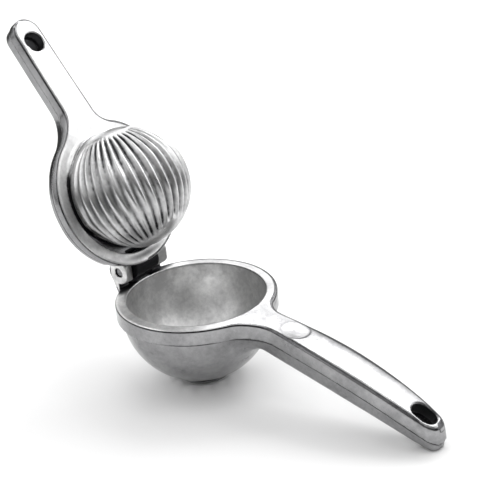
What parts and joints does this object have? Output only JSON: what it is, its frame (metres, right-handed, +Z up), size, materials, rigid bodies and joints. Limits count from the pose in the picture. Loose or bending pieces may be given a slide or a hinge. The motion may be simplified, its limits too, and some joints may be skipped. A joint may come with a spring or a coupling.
{
  "type": "hinged lemon squeezer",
  "caption": "Two-lever cast hand squeezer: perforated bowl with a bowed handle, hinged to a ribbed dome lever that swings open to a stop.",
  "frame": {"origin": "on the bench, at the centre of the foot under the bowl", "axes": "+Z up, +X along the bowl lever toward its tip, Y along the hinge pin"},
  "size_m": [0.2461, 0.08, 0.172],
  "materials": {
    "cast_aluminium": "tumbled casting, softly polished",
    "cast_aluminium_press": "tumbled casting, softly polished",
    "pin_steel": "ground"
  },
  "bodies": {
    "bowl_half": {"bowl_lever": "cast_aluminium", "hinge_pin": "pin_steel"},
    "press_half": {"press_lever": "cast_aluminium_press"}
  },
  "joints": [
    {"name": "hinge", "type": "hinge", "parent": "bowl_half", "child": "press_half", "pos_m": [-0.0364, 0, 0.053], "axis": [0, 1, 0], "range_deg": [0, 115]}
  ]
}
